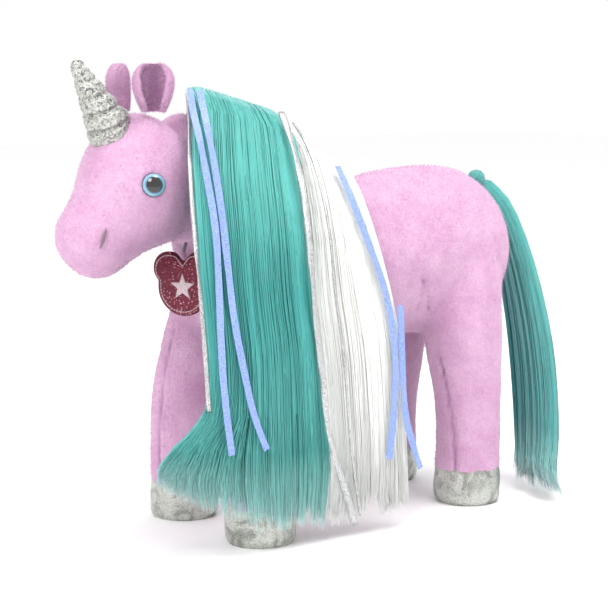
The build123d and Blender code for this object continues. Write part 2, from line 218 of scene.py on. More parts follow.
def threadMaterial(name, dark, light, scale=1800.0, metallic=0.0, roughness=0.5):
    # spun thread or woven tape: fine ridges along its run
    material, tree, shader = newMaterial(name,
            **{"Metallic": metallic, "Roughness": roughness,
            "Sheen Weight": 0.2})
    place = addNode(tree, "ShaderNodeTexCoord").outputs["Object"]
    ridges = addNode(tree, "ShaderNodeTexNoise", {"Vector": place, "Scale": scale, "Detail": 3.0})
    tree.links.new(colourRamp(tree, ridges.outputs[0], [(0.38, dark), (0.6, light)]),
                   shader.inputs["Base Color"])
    bumped(tree, shader, ridges.outputs[0], 0.5, 0.0004)
    return material


def glitterMaterial(name, low, high, paintedGlint):
    # film glitter bonded to felt: each flake its own tilt and a painted brightness, the brightest few a painted
    # glint
    material, tree, shader = newMaterial(name, **{"Metallic": 0.45, "Roughness": 0.3})
    place = addNode(tree, "ShaderNodeTexCoord").outputs["Object"]
    flakes = addNode(tree, "ShaderNodeTexVoronoi", {"Vector": place, "Scale": 1500.0})  # 0.7 mm flakes
    split = addNode(tree, "ShaderNodeSeparateColor", {"Color": flakes.outputs["Color"]})
    tree.links.new(colourRamp(tree, split.outputs[0],
                              [(0.0, low), (0.7, high), (0.93, high), (0.96, paintedGlint)]),
                   shader.inputs["Base Color"])
    bumped(tree, shader, split.outputs[1], 0.8, 0.0006)
    return material


# shaded, middle and lit tones of the pile, mixed by noise as painted light and shade
plush = plushMaterial("lilacPile", "c595b9", "cfa3c4", "d8b0cd")
# pile tips: single polyester fibres, paler than the fabric below them
plushFibre, fibreTree, fibreShader = newMaterial("lilacPileTips",
        **{"Roughness": 0.85, "Specular IOR Level": 0.2,
        "Sheen Weight": 0.3})
napPlace = addNode(fibreTree, "ShaderNodeTexCoord").outputs["Object"]
# painted light and shade: broad noise patches of lighter and darker tips, standing for the nap turning
paintedNapPatches = addNode(fibreTree, "ShaderNodeTexNoise", {"Vector": napPlace, "Scale": 60.0, "Detail": 1.0})
paintedNapTone = colourRamp(fibreTree, paintedNapPatches.outputs[0], [(0.3, "cb9dc0"), (0.5, "d4a9ca"), (0.7, "ddb7d4")])
fibreTree.links.new(paintedNapTone, fibreShader.inputs["Base Color"])
tealHair = hairMaterial("tealNylonHair",
                        [(0.0, "4fb9b4"), (0.25, "6cccc6"), (0.5, "4fb5b1"), (0.84, "5cbdb8"),
                         (0.93, "a5deda"), (1.0, "dcf3f1")],
                        [(0.0, "737f7e"), (0.5, "8a8f8e"), (1.0, "a9b8b5")])
whiteHair = hairMaterial("whiteNylonHair", [(0.0, "f3f3ee"), (0.5, "f4f4f1"), (1.0, "f6f7f4")],
                         [(0.0, "9aa5a5"), (0.35, "b4bdb9"), (0.7, "bdb7c6"), (1.0, "d8dad8")], 0.42)
tailHairFinish = hairMaterial("tailNylonHair",
                              [(0.0, "62c6c1"), (0.4, "5cc0bc"), (0.75, "3ea9a8"), (0.88, "8fd3d0"),
        (0.95, "c3dcdc"), (1.0, "d9dfe0")],
                              [(0.0, "737f7e"), (0.5, "8a8f8e"), (1.0, "a9b8b5")])
# the two tones of each lamé are its shaded and lit silver, painted by the crease noise
lame = lameMaterial("silverLame", "b3b5af", "e8eae4", 70.0)
hornLame = lameMaterial("hornLame", "77797a", "e9eae4", 420.0)
silverThread = threadMaterial("silverThread", "6d6e70", "e4e4e6", 2600.0, 0.7, 0.35)
badgeThread = threadMaterial("silverPinkThread", "9a7f88", "e6d2d8", 2600.0, 0.3, 0.4)
greyThread = threadMaterial("greyStitching", "6e5560", "9c8191", 2200.0)
blueSatin = threadMaterial("blueSatinRibbon", "6f86cf", "9db4ea", 1500.0, 0.0, 0.38)
tinselFinish = threadMaterial("silverTinsel", "6f7072", "f0f0f0", 2100.0, 0.75, 0.28)
weftFinish = threadMaterial("tealWeft", "2c7f7d", "54a6a2", 1400.0)
loopFinish = threadMaterial("darkCord", "4b454d", "8d858c", 2000.0)
# the last colour is the painted glint on the brightest flakes
badgeGlitter = glitterMaterial("redGlitter", "4f1420", "7d2d40", "d89aa8")
badgeFelt = threadMaterial("redFelt", "4a1620", "6e2836", 900.0, 0.0, 0.9)
washerPlastic = newMaterial("whitePolypropylene", **{"Base Color": linear("e4e2dc"), "Roughness": 0.45})[0]
print("stage: materials")


def finish(mesh, name, material, body=None, replaced=(), smooth=True):
    piece = bpy.data.objects.new(name, mesh)
    scene.collection.objects.link(piece)
    mesh.materials.clear()
    mesh.materials.append(material)
    mesh.polygons.foreach_set("material_index", np.zeros(len(mesh.polygons), np.int32))
    mesh.polygons.foreach_set("use_smooth", np.full(len(mesh.polygons), smooth))
    mesh.update()
    if body:
        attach(piece, body)
    if replaced:
        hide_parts(*replaced)
    print("piece", name, len(mesh.polygons))
    return piece


def closedMesh(name, points, faces, weld=1e-6):
    # a mesh with its doubles merged and its faces turned outward
    mesh = bpy.data.meshes.new(name)
    mesh.from_pydata([tuple(p) for p in points], [], faces)
    work = bmesh.new()
    work.from_mesh(mesh)
    bmesh.ops.remove_doubles(work, verts=work.verts, dist=weld)
    bmesh.ops.recalc_face_normals(work, faces=work.faces)
    work.to_mesh(mesh)
    work.free()
    return mesh


def ringMesh(name, rings, loop=False):
    # closed skin through rings of equal count, with flat caps
    count, around = len(rings), len(rings[0])
    points = [p for ring in rings for p in ring]
    faces = []
    for i in range(count if loop else count - 1):
        a, b = i * around, (i + 1) % count * around
        faces += [(a + j, a + (j + 1) % around, b + (j + 1) % around, b + j) for j in range(around)]
    if not loop:
        faces += [tuple(range(around)), tuple(range((count - 1) * around, count * around))]
    return closedMesh(name, points, faces)


def turned(name, origin, axis, profile, around=64, shape=None):
    # turns (radius, height) pairs about an axis; shape(angle, height, radius) may change a radius
    z = Vector(axis).normalized()
    x = z.orthogonal().normalized()
    y = z.cross(x)
    rings = []
    for radius, height in profile:
        ring = []
        for j in range(around):
            angle = 2 * math.pi * j / around
            r = shape(angle, height, radius) if shape else radius
            ring.append(Vector(origin) + z * height + (x * math.cos(angle) + y * math.sin(angle)) * r)
        rings.append(ring)
    return ringMesh(name, rings)


def evaluatedMesh(holder):
    # an object's plain mesh with its modifiers applied; the object is removed
    mesh = bpy.data.meshes.new_from_object(holder.evaluated_get(bpy.context.evaluated_depsgraph_get()))
    bpy.data.objects.remove(holder)
    return mesh


def pointValues(mesh, name, values):
    mesh.attributes.new(name, "FLOAT", "POINT").data.foreach_set("value", np.array(values, np.float32))


def splinePoints(points, resolution=10):
    # the smooth line of a route, read from its own NURBS spline
    curve = bpy.data.curves.new("route", "CURVE")
    curve.dimensions, curve.resolution_u = "3D", resolution
    spline = curve.splines.new("NURBS")
    spline.points.add(len(points) - 1)
    for point, place in zip(spline.points, points):
        point.co = (*place, 1)
    spline.order_u, spline.use_endpoint_u = 3, True
    holder = bpy.data.objects.new("route", curve)
    scene.collection.objects.link(holder)
    bpy.context.view_layer.update()
    mesh = evaluatedMesh(holder)
    line = np.array([v.co for v in mesh.vertices], float)
    bpy.data.meshes.remove(mesh)
    bpy.data.curves.remove(curve)
    return line


def swept(name, line, half, thick, outward, wave=0.0, around=4, seed=0):
    # a flat tape or round cord along a line
    # half and thick are half sizes, outward is the way its face looks
    rings = []
    tangents = np.gradient(line, axis=0)
    for i, (p, t) in enumerate(zip(line, tangents)):
        t = t / np.linalg.norm(t)
        out = outward - t * (outward @ t)
        out /= np.linalg.norm(out)
        side = np.cross(t, out)
        turn = wave * math.sin(i * 0.16 + seed) + wave * 0.5 * math.sin(i * 0.37 + 2 * seed)
        face = out * math.cos(turn) + side * math.sin(turn)
        edge = side * math.cos(turn) - out * math.sin(turn)
        if around == 4:
            rings.append([p + edge * half + face * thick, p - edge * half + face * thick,
                          p - edge * half - face * thick, p + edge * half - face * thick])
        else:
            rings.append([p + edge * half * math.cos(a) + face * thick * math.sin(a) for a in np.linspace(0,
                    2 * math.pi, around, endpoint=False)])
    return ringMesh(name, rings)


# ribbons, tinsel and cord over the mane
routes = {
    "blue_ribbon_front": (4.6,
                          [(22, -135, 309), (37, -143, 295), (50, -146.5, 278), (62, -149, 252),
                           (72, -149, 220),
        (79, -152, 182), (85, -155, 150), (90, -156, 111), (91, -151, 75)]),
    "blue_ribbon_second": (4.6,
                           [(29, -132, 308), (43, -138, 294), (55, -141, 273), (68, -143, 239),
                            (77, -144, 200),
        (83, -143.5, 162), (89, -140, 130), (90.5, -133, 96), (91, -123, 75)]),
    "silver_strand_front": (3.0,
                            [(13, -131, 306), (31, -141.5, 296), (49, -154, 264), (62, -160, 222),
                             (71.5, -161.5, 181),
        (78, -162.5, 142), (82.5, -163, 104)]),
    "silver_tinsel_seam": (5.0,
                           [(31, -66, 293), (47, -70, 278), (67, -74, 242), (79, -78, 203),
                            (85.5, -78, 156),
        (90.5, -76, 116), (91, -72, 80), (95, -63, 47), (98, -54, 15)]),
    "silver_cord_white": (1.8,
                          [(18.5, -46, 285), (36, -50, 275.5), (58, -54.5, 250), (77, -59, 212.5),
                           (84, -61, 173),
        (89.5, -56.5, 128), (91, -54.5, 87), (93.5, -52, 52), (97, -48.5, 20)]),
    "blue_ribbon_rear": (4.6,
                         [(52, -33, 256), (65, -33, 239), (77, -30, 213), (81.5, -21, 188),
                          (85.5, -13, 158),
        (89.5, -11, 123), (90.5, -13, 88), (90, -17, 54)]),
    "blue_ribbon_tip": (4.6,
                        [(84.5, -3, 160), (88, -5, 135), (90, -5, 108), (90.5, -3, 82), (91, 4, 61),
                         (91, 11, 44)]),
}
hairOut = np.array((0.86, -0.32, 0.4))
for number, (name, (width, route)) in enumerate(routes.items()):
    line = splinePoints([at(*p) for p in route], 14)
    half = width / 2000
    blue = name.startswith("blue")
    if blue:
        mesh = swept("lay_" + name, line, half, 0.00025, hairOut, 0.22, 4, number)
    elif name == "silver_cord_white":
        mesh = swept("lay_" + name, line, half, half, hairOut, 0.0, 8, number)
    else:
        mesh = swept("lay_" + name, line, half, half * 0.35, hairOut, 0.5, 8, number)
    piece = finish(mesh, "lay_" + name, blueSatin if blue else tinselFinish, "mane", (name,),
                   smooth=not blue)
print("stage: ribbons")


# skin: the body, legs, neck and head as one pile fabric form
skinSettings = {"voxel": 0.0023, "neckMiddle": (0, -128, 250), "neckSize": (0.033, 0.022, 0.045),
                "cuff": 0.0262, "smoothing": 6, "neckSmoothing": 60, "legSmoothing": 26}
skinNodes = sorted(n for n in frame["nodes"]
                   if n.endswith(("_panel", "gusset", "filling")) and not n.startswith("horn"))


def joinedCopy(names, extra=()):
    work = bmesh.new()
    for n in names:
        work.from_mesh(frame["nodes"][n].data)
    for mesh in extra:
        work.from_mesh(mesh)
    bmesh.ops.remove_doubles(work, verts=work.verts, dist=1e-6)
    mesh = bpy.data.meshes.new("joined")
    work.to_mesh(mesh)
    work.free()
    return mesh


ball = bmesh.new()
neckPlace = Matrix.Translation(at(*skinSettings["neckMiddle"]))
neckPlace = neckPlace @ Matrix.Diagonal((*skinSettings["neckSize"], 1))
bmesh.ops.create_icosphere(ball, subdivisions=4, radius=1.0, matrix=neckPlace)
neckFill = bpy.data.meshes.new("neckFill")
ball.to_mesh(neckFill)
ball.free()
holder = bpy.data.objects.new("skinWork", joinedCopy(skinNodes, [neckFill]))
scene.collection.objects.link(holder)
remesh = holder.modifiers.new("voxels", "REMESH")
remesh.mode, remesh.voxel_size = "VOXEL", skinSettings["voxel"]
skinMesh = evaluatedMesh(holder)
print("skin faces", len(skinMesh.polygons))


def largestShell(mesh):
    # keeps only the biggest connected skin, so no inner wall is left
    work = bmesh.new()
    work.from_mesh(mesh)
    work.verts.ensure_lookup_table()
    seen, groups = set(), []
    for start in work.verts:
        if start.index in seen:
            continue
        group, stack = [], [start]
        seen.add(start.index)
        while stack:
            v = stack.pop()
            group.append(v)
            for e in v.link_edges:
                o = e.other_vert(v)
                if o.index not in seen:
                    seen.add(o.index)
                    stack.append(o)
        groups.append(group)
    groups.sort(key=len, reverse=True)
    for group in groups[1:]:
        bmesh.ops.delete(work, geom=group, context="VERTS")
    work.to_mesh(mesh)
    work.free()


largestShell(skinMesh)
skinPoints = np.empty(len(skinMesh.vertices) * 3)
skinMesh.vertices.foreach_get("co", skinPoints)
skinPoints = skinPoints.reshape(-1, 3)
edgeEnds = np.empty(len(skinMesh.edges) * 2, np.int32)
skinMesh.edges.foreach_get("vertices", edgeEnds)
edgeEnds = edgeEnds.reshape(-1, 2)
degree = np.bincount(edgeEnds.ravel(), minlength=len(skinPoints)).astype(float)[:, None]


def relaxed(points, steps, weight):
    for _ in range(steps):
        total = np.zeros_like(points)
        for k in range(3):
            total[:, k] = (np.bincount(edgeEnds[:, 0], points[edgeEnds[:, 1], k], len(points))
                           + np.bincount(edgeEnds[:, 1], points[edgeEnds[:, 0], k], len(points)))
        points = points + weight * (total / degree - points)
    return points


local = (skinPoints - middle) * 1000  # millimetres from the middle of the hooves
neckZone = np.exp(-((local[:, 1] + 122) / 17) ** 2) * (local[:, 2] > 185)
legZone = np.exp(-((local[:, 2] - 135) / 26) ** 2) * (np.abs(local[:, 1]) > 40)
for _ in range(skinSettings["smoothing"]):
    skinPoints = relaxed(skinPoints, 2, 0.5)
    skinPoints = relaxed(skinPoints, 2, -0.52)
skinPoints = relaxed(skinPoints, skinSettings["neckSmoothing"], 0.5 * neckZone[:, None])
skinPoints = relaxed(skinPoints, skinSettings["legSmoothing"], 0.5 * legZone[:, None])
skinMesh.vertices.foreach_set("co", skinPoints.ravel())
skinMesh.update()

# seams pressed into the pile, each given as points on the skin with its depth and half width
seams = [
    ([(58.6, 41.5, 172), (53, 43, 160), (48.3, 44.5, 149), (44, 46, 130)], 1.6, 1.9),
    ([(58.6, 41.5, 172), (52, 50, 159), (46, 59, 146), (42.5, 67, 117), (49, 71, 97), (52, 73, 80),
      (56, 75, 55), (57.6, 75, 26)], 1.7, 2.0),
    ([(-58.6, 41.5, 172), (-52, 50, 159), (-46, 59, 146), (-42.5, 67, 117), (-49, 71, 97), (-52, 73, 80),
      (-56, 75, 55), (-57.6, 75, 26)], 1.6, 2.0),
    ([(0, 150, 215), (0, 147, 190), (0, 140, 160), (0, 128, 138)], 1.2, 1.8),
    ([(0, -112, 160), (0, -121, 185), (0, -127, 205)], 0.8, 1.6),
]
mirroredSeams = [
    ([(44, 121, 26), (44, 121, 60), (40, 124, 108), (33, 130, 148)], 1.2, 1.6),
    ([(44, -121, 26), (44, -120, 60), (41, -117, 108), (35, -113, 140)], 1.2, 1.6),
    ([(27, -80, 128), (27, -40, 125), (27, 10, 121), (27, 60, 122), (27, 90, 127)], 1.0, 1.6),
    ([(11, -199, 268), (11, -210, 250), (11, -219, 232), (11, -223, 216)], 0.7, 1.4),
]
for points, depth, width in mirroredSeams:
    seams += [([(side * x, y, z) for x, y, z in points], depth, width) for side in (1, -1)]
normals = np.empty(len(skinMesh.vertices) * 3)
skinMesh.vertices.foreach_get("normal", normals)
normals = normals.reshape(-1, 3)
press = np.zeros(len(skinPoints))
# painted shade along each seam crease, read by the pile colour
seamShadeMark = np.zeros(len(skinPoints))
for seamPoints, depth, width in seams:
    line = splinePoints([at(*p) for p in seamPoints], 16)
    dense = np.concatenate([np.linspace(a, b, 6, endpoint=False) for a, b in zip(line, line[1:])])
    tree = KDTree(len(dense))
    for i, p in enumerate(dense):
        tree.insert(p, i)
    tree.balance()
    near = np.where(((skinPoints > dense.min(0) - 0.014) & (skinPoints < dense.max(0) + 0.014)).all(1))[0]
    for i in near:
        nearest, index, distance = tree.find(skinPoints[i])
        away = distance * 1000 / width
        if away < 3.5:
            pucker = 1 + 0.35 * math.sin(index * 0.9)
            press[i] = max(press[i], depth * math.exp(-away * away) * pucker)
            seamShadeMark[i] = max(seamShadeMark[i], 0.8 * math.exp(-(away * 1.9) ** 2))
waves = np.array([0.9 * noise.noise(Vector(p) * 38) + 0.35 * noise.noise(Vector(p) * 130)
                  for p in skinPoints])
skinPoints = skinPoints + normals * ((waves - press) / 1000)[:, None]
skinMesh.vertices.foreach_set("co", skinPoints.ravel())
pointValues(skinMesh, "paintedShade", seamShadeMark)
trim = bmesh.new()
trim.from_mesh(skinMesh)
bmesh.ops.bisect_plane(trim, geom=trim.verts[:] + trim.edges[:] + trim.faces[:],
                       plane_co=(0, 0, skinSettings["cuff"]),
                       plane_no=(0, 0, 1), clear_inner=True)
bmesh.ops.holes_fill(trim, edges=[e for e in trim.edges if e.is_boundary], sides=0)
bmesh.ops.recalc_face_normals(trim, faces=trim.faces)
trim.to_mesh(skinMesh)
trim.free()
skin = finish(skinMesh, "plushSkin", plush, None, skinNodes)
print("stage: skin")


def newTree(name, *sizes):
    # a node tree that takes a geometry and named sizes; returns it and its given outputs
    tree = bpy.data.node_groups.new(name, "GeometryNodeTree")
    tree.interface.new_socket("Geometry", in_out="INPUT", socket_type="NodeSocketGeometry")
    for size in sizes:
        kind = "NodeSocketInt" if size == "Seed" else "NodeSocketFloat"
        tree.interface.new_socket(size, in_out="INPUT", socket_type=kind)
    tree.interface.new_socket("Geometry", in_out="OUTPUT", socket_type="NodeSocketGeometry")
    return tree, addNode(tree, "NodeGroupInput").outputs


def closeTree(tree, geometry, material):
    real = addNode(tree, "GeometryNodeRealizeInstances", {"Geometry": geometry})
    made = addNode(tree, "GeometryNodeSetMaterial", {"Geometry": real.outputs["Geometry"], "Material": material})
    addNode(tree, "NodeGroupOutput", {"Geometry": made.outputs["Geometry"]})
    return tree


# short pile over the skin
def pileTree(material):
    tree, given = newTree("pile", "Density", "Length", "Thickness", "Seed")
    spread = addNode(tree, "GeometryNodeDistributePointsOnFaces",
                     {"Mesh": given["Geometry"], "Density": given["Density"], "Seed": given["Seed"]})
    fibre = addNode(tree, "GeometryNodeMeshCone",
                    {"Vertices": 3, "Radius Top": 0.0, "Radius Bottom": given["Thickness"],
                     "Depth": given["Length"]},
                    fill_type="TRIANGLE_FAN")
    lean = addNode(tree, "FunctionNodeRandomValue", {0: (-0.75, -0.75, -3.1), 1: (0.75, 0.75, 3.1)},
                   data_type="FLOAT_VECTOR")
    turn = addNode(tree, "FunctionNodeRotateEuler",
                   {"Rotation": spread.outputs["Rotation"], "Rotate By": lean.outputs[0]},
            rotation_type="EULER", space="LOCAL")
    size = addNode(tree, "FunctionNodeRandomValue", {2: 0.6, 3: 1.2}, data_type="FLOAT")
    placed = addNode(tree, "GeometryNodeInstanceOnPoints",
                     {"Points": spread.outputs["Points"], "Instance": fibre.outputs["Mesh"],
            "Rotation": turn.outputs[0],
                             "Scale": size.outputs[1]})
    return closeTree(tree, placed.outputs["Instances"], material)


def grown(source, tree, values):
    # the plain mesh that a node tree grows from a source mesh
    holder = bpy.data.objects.new("source", source)
    scene.collection.objects.link(holder)
    modifier = holder.modifiers.new("grow", "NODES")
    modifier.node_group = tree
    for item in tree.interface.items_tree:
        if item.item_type == "SOCKET" and item.in_out == "INPUT" and item.name in values:
            modifier[item.identifier] = values[item.name]
    bpy.context.view_layer.update()
    return evaluatedMesh(holder)


def partOf(mesh, keep):
    work = bmesh.new()
    work.from_mesh(mesh)
    gone = [f for f in work.faces if not keep(f.calc_center_median())]
    bmesh.ops.delete(work, geom=gone, context="FACES")
    part = bpy.data.meshes.new("part")
    work.to_mesh(part)
    work.free()
    return part


pileSettings = {"Density": 260000.0, "Length": 0.0017, "Thickness": 0.00016, "Seed": 3}
mostFibres = 30000  # in one piece
pile = pileTree(plushFibre)
neckY = at(0, -104, 0).y
frontY, rearY = at(0, -30, 0).y, at(0, 45, 0).y
pileParts = {
    "pileHead": lambda c: c.y < neckY and c.z > 0.185,
    "pileForelegs": lambda c: c.z < 0.17 and c.y < frontY and not (c.y < neckY and c.z > 0.185),
    "pileHindlegs": lambda c: c.z < 0.15 and c.y > rearY,
    "pileBarrel": lambda c: not ((c.y < neckY and c.z > 0.185) or (c.z < 0.17 and c.y < frontY)
        or (c.z < 0.15 and c.y > rearY)),
}
for name, keep in pileParts.items():
    part = partOf(skinMesh, keep)
    area = sum(p.area for p in part.polygons)
    density = min(pileSettings["Density"], mostFibres / area)
    mesh = grown(part, pile, {**pileSettings, "Density": density})
    if name == "pileHead":
        piece = finish(mesh, name, plushFibre, None, (), smooth=False)
        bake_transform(piece)
    else:
        finish(mesh, name, plushFibre, "body", (), smooth=False)
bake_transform(skin)
print("stage: pile")


# hooves: stuffed metallic cloth, gathered under the ankle seam
hoof = {"height": 0.0285, "radius": 0.0249, "ankle": 0.0238}


def hoofShape(seed):
    def shape(angle, height, radius):
        up = height / hoof["height"]
        crinkle = 0.0009 * noise.noise(Vector((math.cos(angle) * 3, math.sin(angle) * 3, up * 2 + seed)))
        gather = 0.0004 * math.sin(angle * 22 + seed) * max(0, up - 0.55) / 0.45
        return radius + (crinkle + gather) * min(1, height / 0.004)
    return shape


for number, side in enumerate(("left", "right")):
    for end in ("front", "hind"):
        node = f"{end}_{side}_hoof_cover"
        low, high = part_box(node)
        foot = Vector(((low.x + high.x) / 2, (low.y + high.y) / 2, 0))
        profile = [(hoof["radius"] - 0.0032, 0.0), (hoof["radius"] - 0.0028, 0.0003)]
        for i in range(1, 20):
            h = i / 20 * hoof["height"]
            bulge = 1 - ((h - 0.011) / 0.017) ** 2 * 0.055 - max(0, (0.006 - h) / 0.006) ** 2 * 0.1
            profile.append((hoof["radius"] * bulge, h))
        profile += [(hoof["ankle"] - 0.0014, hoof["height"]),
                    (hoof["ankle"] - 0.006, hoof["height"] + 0.0005)]
        mesh = turned(node, foot, (0, 0, 1), profile, 96, hoofShape(number * 5 + (end == "hind") * 9))
        finish(mesh, "soft_" + node, lame, "body", (node,))
        frame["nodes"][f"{end}_{side}_hoof_sole"].data.materials.clear()
        frame["nodes"][f"{end}_{side}_hoof_sole"].data.materials.append(lame)
print("stage: hooves")

# horn: stuffed cone of metallic cloth, pinched by its wound thread
horn = {"root": at(0, -184.1, 284.2), "tip": at(0, -210, 328), "wide": 0.0162, "narrow": 0.0037,
        "turns": 4.5}
hornAxis = (horn["tip"] - horn["root"]).normalized()
hornLength = (horn["tip"] - horn["root"]).length


def hornRadius(height):
    t = max(0.0, min(1.0, height / hornLength))
    return horn["wide"] + (horn["narrow"] - horn["wide"]) * t


def hornShape(angle, height, radius):
    t = max(0.0, min(1.0, height / hornLength))
    phase = angle + 2 * math.pi * horn["turns"] * t
    pinch = abs(math.cos(phase / 2)) ** 12
    crinkle = noise.noise(Vector((math.cos(angle) * 3.5, math.sin(angle) * 3.5, t * 14)))
    return radius * (1 - 0.16 * pinch + 0.045 * crinkle)


hornProfile = [(hornRadius(h), h) for h in np.linspace(-0.006, hornLength - 0.003, 110)]
hornProfile += [(horn["narrow"] * math.cos(a), hornLength - 0.003 + 0.003 * math.sin(a)) for a in (0.3, 0.7,
        1.1, 1.4)]
hornMesh = turned("hornCloth", horn["root"], hornAxis, hornProfile, 96, hornShape)
finish(hornMesh, "hornCloth", hornLame, "horn", ("horn_cover", "horn_filling"))
hornX = hornAxis.orthogonal().normalized()
hornY = hornAxis.cross(hornX)
winding = []
for t in np.linspace(0.03, 0.93, 300):
    angle = math.pi - 2 * math.pi * horn["turns"] * t
    r = hornRadius(t * hornLength) * 0.88
    winding.append(horn["root"] + hornAxis * t * hornLength
                   + (hornX * math.cos(angle) + hornY * math.sin(angle)) * r)
finish(swept("hornWinding", np.array(winding), 0.0005, 0.0005, np.array(hornAxis), 0, 6), "hornWinding",
       silverThread, "horn", ("horn_thread",))
print("stage: horn")

# ears: leaf-shaped double cloth, its edges rolled towards each other
ear = {"rise": 0.0335, "root": 0.0075, "widest": 0.0138, "deep": 0.0068, "thick": 0.0046}
for side, sideName in ((1, "left"), (-1, "right")):
    root = at(side * 21, -163, 293.5)
    outward = Vector((side * 0.8, -0.6, 0))
    across = Vector((0.6, side * 0.8, 0))
    outerRings, innerRings = [], []
    for i in range(25):
        s = i / 24
        half = ear["root"] + (ear["widest"] - ear["root"]) * math.sin(min(1, s / 0.62) * math.pi / 2)
        if s > 0.62:
            half *= math.sqrt(max(0.0, 1 - ((s - 0.62) / 0.38) ** 2)) * 0.93 + 0.07
        opened = math.radians(152 - 30 * s)
        spine = root + Vector((0, 0, ear["rise"] * s)) + outward * (0.0035 * math.sin(s * 2.2) - 0.002)
        ring = []
        for j in range(33):
            a = -opened + 2 * opened * j / 32
            ring.append(spine + across * half * math.sin(a)
                        - outward * ear["deep"] * (half / ear["widest"]) * math.cos(a))
        outerRings.append(ring)
        shrink = 1 - ear["thick"] / ear["widest"] * (0.62 + 0.2 * s)
        innerRings.append([spine + (p - spine) * shrink for p in reversed(ring)])
    rings = [a + b for a, b in zip(outerRings, innerRings)]
    mesh = ringMesh("ear", rings)
    holder = bpy.data.objects.new("earWork", mesh)
    scene.collection.objects.link(holder)
    remesh = holder.modifiers.new("voxels", "REMESH")
    remesh.mode, remesh.voxel_size = "VOXEL", 0.0009
    relax = holder.modifiers.new("relax", "SMOOTH")
    relax.factor, relax.iterations = 0.5, 10
    earMesh = evaluatedMesh(holder)
    # the hollow gets painted shade, darkest along its middle, marked where the surface looks outward from inside
    # the roll
    shadeMark = []
    for v in earMesh.vertices:
        flat = v.co - root
        deep, wide = flat.dot(outward), flat.dot(across)
        looksOut = v.normal.dot(outward) > 0.1 and deep < 0.0035
        inside = math.exp(-(wide / 0.0062) ** 2) * (1 if looksOut else 0.0)
        shadeMark.append(min(1.0, inside * 1.1))
    pointValues(earMesh, "paintedShade", shadeMark)
    finish(earMesh, f"ear_{sideName}_cloth", plush, f"ear_{sideName}",
           (f"ear_{sideName}_back", f"ear_{sideName}_lining"))
    mesh = grown(earMesh.copy(), pile, {**pileSettings, "Density": 3.2e6, "Length": 0.0013})
    finish(mesh, f"ear_{sideName}_pile", plushFibre, f"ear_{sideName}", (), smooth=False)
print("stage: ears")

# eyes: layered domed buttons, an iris ring round a black middle under a clear coat
eyeMaterial, eyeTree, eyeShader = newMaterial("acrylicEye",
        **{"Roughness": 0.08, "Coat Weight": 1.0,
        "Coat Roughness": 0.02})
radial = addNode(eyeTree, "ShaderNodeAttribute", attribute_name="radial").outputs["Fac"]
streaks = addNode(eyeTree, "ShaderNodeTexNoise",
                  {"Vector": addNode(eyeTree, "ShaderNodeTexCoord").outputs["Object"], "Scale": 900.0})
wobble = addNode(eyeTree, "ShaderNodeMath", {0: streaks.outputs[0], 1: 0.05, 2: radial},
                 operation="MULTIPLY_ADD")
eyeTree.links.new(colourRamp(eyeTree, wobble.outputs[0],
                             [(0.0, "0a0809"), (0.60, "120d10"), (0.66, "2c4250"), (0.76, "6fa9c6"),
                              (0.90, "8fb7cc"), (0.97, "34505e"), (1.0, "22343e")]),
                  eyeShader.inputs["Base Color"])
eyeSettings = {"radius": 0.0081, "height": 0.0058, "base": (33.6, -171.9, 247.3)}
for side, sideName in ((1, "left"), (-1, "right")):
    x, y, z = eyeSettings["base"]
    axis = Vector((side * 0.90, -0.42, 0.10)).normalized()
    origin = at(side * x, y, z)
    profile = [(0.0018, -0.0105), (0.0018, -0.0012), (eyeSettings["radius"] * 0.96, -0.0010),
               (eyeSettings["radius"], 0.0)]
    profile += [(eyeSettings["radius"] * math.cos(a),
                 eyeSettings["height"] * math.sin(a)) for a in np.linspace(0.06, 1.5, 22)]
    mesh = turned("eye", origin, axis, profile, 64)
    away = [(v.co - origin - axis * (v.co - origin).dot(axis)).length / eyeSettings["radius"]
            for v in mesh.vertices]
    pointValues(mesh, "radial", away)
    finish(mesh, f"eye_{sideName}_button", eyeMaterial, "head", (f"eye_{sideName}",))
    frame["nodes"][f"eye_washer_{sideName}"].data.materials.clear()
    frame["nodes"][f"eye_washer_{sideName}"].data.materials.append(washerPlastic)

    # nostril: short satin stitches side by side
    stitches = bmesh.new()
    low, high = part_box(f"nostril_stitch_{sideName}")
    middleSpot = (low + high) / 2
    run, lift = Vector((0, -0.35, -0.94)).normalized(), Vector((side * 0.94, -0.34, 0)).normalized()
    for i in range(15):
        centre = middleSpot + run * (i - 7) * 0.00092 - lift * 0.0009 * ((i - 7) / 7) ** 2 + lift * 0.0006
        wide = 0.0013 * math.sqrt(max(0.08, 1 - ((i - 7) / 7.6) ** 2))
        frameTurn = Matrix((run.cross(lift), run, lift)).transposed().to_4x4()
        bmesh.ops.create_icosphere(stitches, subdivisions=2, radius=1.0,
                                   matrix=Matrix.Translation(centre) @ frameTurn @ Matrix.Diagonal((wide,
                0.00062, 0.0011, 1)))
    mesh = bpy.data.meshes.new("nostril")
    stitches.to_mesh(mesh)
    stitches.free()
    finish(mesh, f"nostril_{sideName}_thread", greyThread, "head", (f"nostril_stitch_{sideName}",))
print("stage: face")

